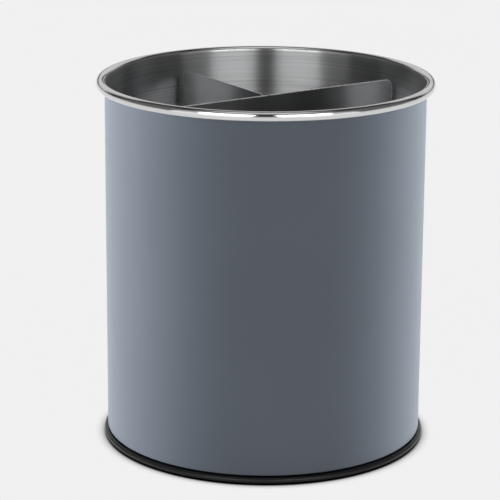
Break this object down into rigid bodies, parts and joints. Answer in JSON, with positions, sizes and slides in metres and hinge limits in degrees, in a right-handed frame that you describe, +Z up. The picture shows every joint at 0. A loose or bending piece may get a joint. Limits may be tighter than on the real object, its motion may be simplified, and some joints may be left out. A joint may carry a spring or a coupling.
{
  "type": "utensil crock",
  "caption": "Round steel utensil crock with a rolled rim, a lift-out T divider and grip mat, turning on a weighted ball-race base.",
  "frame": {"origin": "on the table, under the middle of the crock, on its turning axis", "axes": "+Z up along the turning axis; +X along the long divider panel; +Y along the cross panel, which stands behind it"},
  "size_m": [0.1774, 0.1774, 0.1945],
  "materials": {
    "black_plastic": "fine moulded texture, semi-gloss lip",
    "foot_rubber": "matt rubber",
    "weight_steel": "black phosphate",
    "race_steel": "zinc plated, rolled track",
    "fastener_steel": "zinc plated",
    "cage_nylon": "natural nylon",
    "ball_steel": "polished",
    "slate_painted_steel": "satin slate coat outside, bare brushed steel inside and on the polished rolled rim",
    "drum_steel": "plain rolled stainless sheet",
    "mat_rubber": "matt black rubber",
    "divider_steel": "brushed stainless sheet with polished edges"
  },
  "bodies": {
    "base": {"turntable_base": "black_plastic", "foot_pads": "foot_rubber", "weight_plate": "weight_steel", "lower_race": "race_steel", "lower_race_screws": "fastener_steel", "pivot_bolt": "fastener_steel", "pivot_washer": "fastener_steel", "pivot_nut": "fastener_steel"},
    "cage": {"ball_cage": "cage_nylon", "bearing_balls": "ball_steel"},
    "drum": {"drum_wall": "slate_painted_steel", "drum_floor": "drum_steel", "upper_race": "race_steel", "weld_studs": "fastener_steel", "race_washers": "fastener_steel", "race_nuts": "fastener_steel", "pivot_bush": "cage_nylon"},
    "mat": {"grip_mat": "mat_rubber"},
    "divider": {"long_panel": "divider_steel", "cross_panel": "divider_steel"}
  },
  "joints": [
    {"name": "drum_spin", "type": "hinge", "parent": "base", "child": "drum", "pos_m": [0, 0, 0.012], "axis": [0, 0, 1], "continuous": true},
    {"name": "cage_spin", "type": "hinge", "parent": "base", "child": "cage", "pos_m": [0, 0, 0.012], "axis": [0, 0, 1], "continuous": true},
    {"name": "mat_lift", "type": "slide", "parent": "drum", "child": "mat", "axis": [0, 0, 1], "range_m": [0, 0.185]},
    {"name": "divider_lift", "type": "slide", "parent": "mat", "child": "divider", "axis": [0, 0, 1], "range_m": [0, 0.185]}
  ],
  "couplings": [
    {"joint": "cage_spin", "follows": "drum_spin", "ratio": 0.5}
  ]
}
